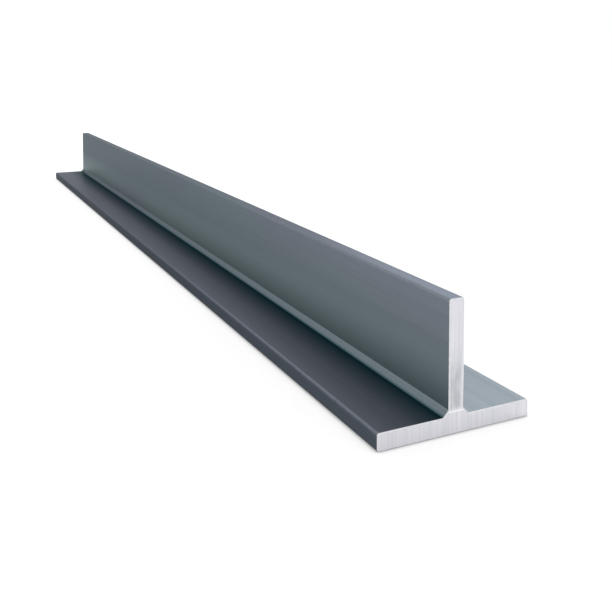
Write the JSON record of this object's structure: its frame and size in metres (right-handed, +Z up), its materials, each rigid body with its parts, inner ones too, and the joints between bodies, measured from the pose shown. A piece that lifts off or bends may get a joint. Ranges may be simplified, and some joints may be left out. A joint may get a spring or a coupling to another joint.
{
  "type": "steel tee bar",
  "caption": "Straight steel tee bar: a flat flange with an upright stem along its middle and square sawn ends, used as a supporting section, frame member or edging.",
  "frame": {"origin": "middle of the bar's length and of the flange's width, on the flange's underside", "axes": "+X along the bar towards the end nearest in the picture, +Y across the flange, +Z up the stem"},
  "size_m": [0.63, 0.06, 0.045],
  "materials": {
    "mill_scale_steel": "smooth dark blue-grey mill scale on the long faces, bright and finely streaked where the ends are sawn"
  },
  "bodies": {
    "root": {"tee_bar": "mill_scale_steel"}
  },
  "joints": []
}
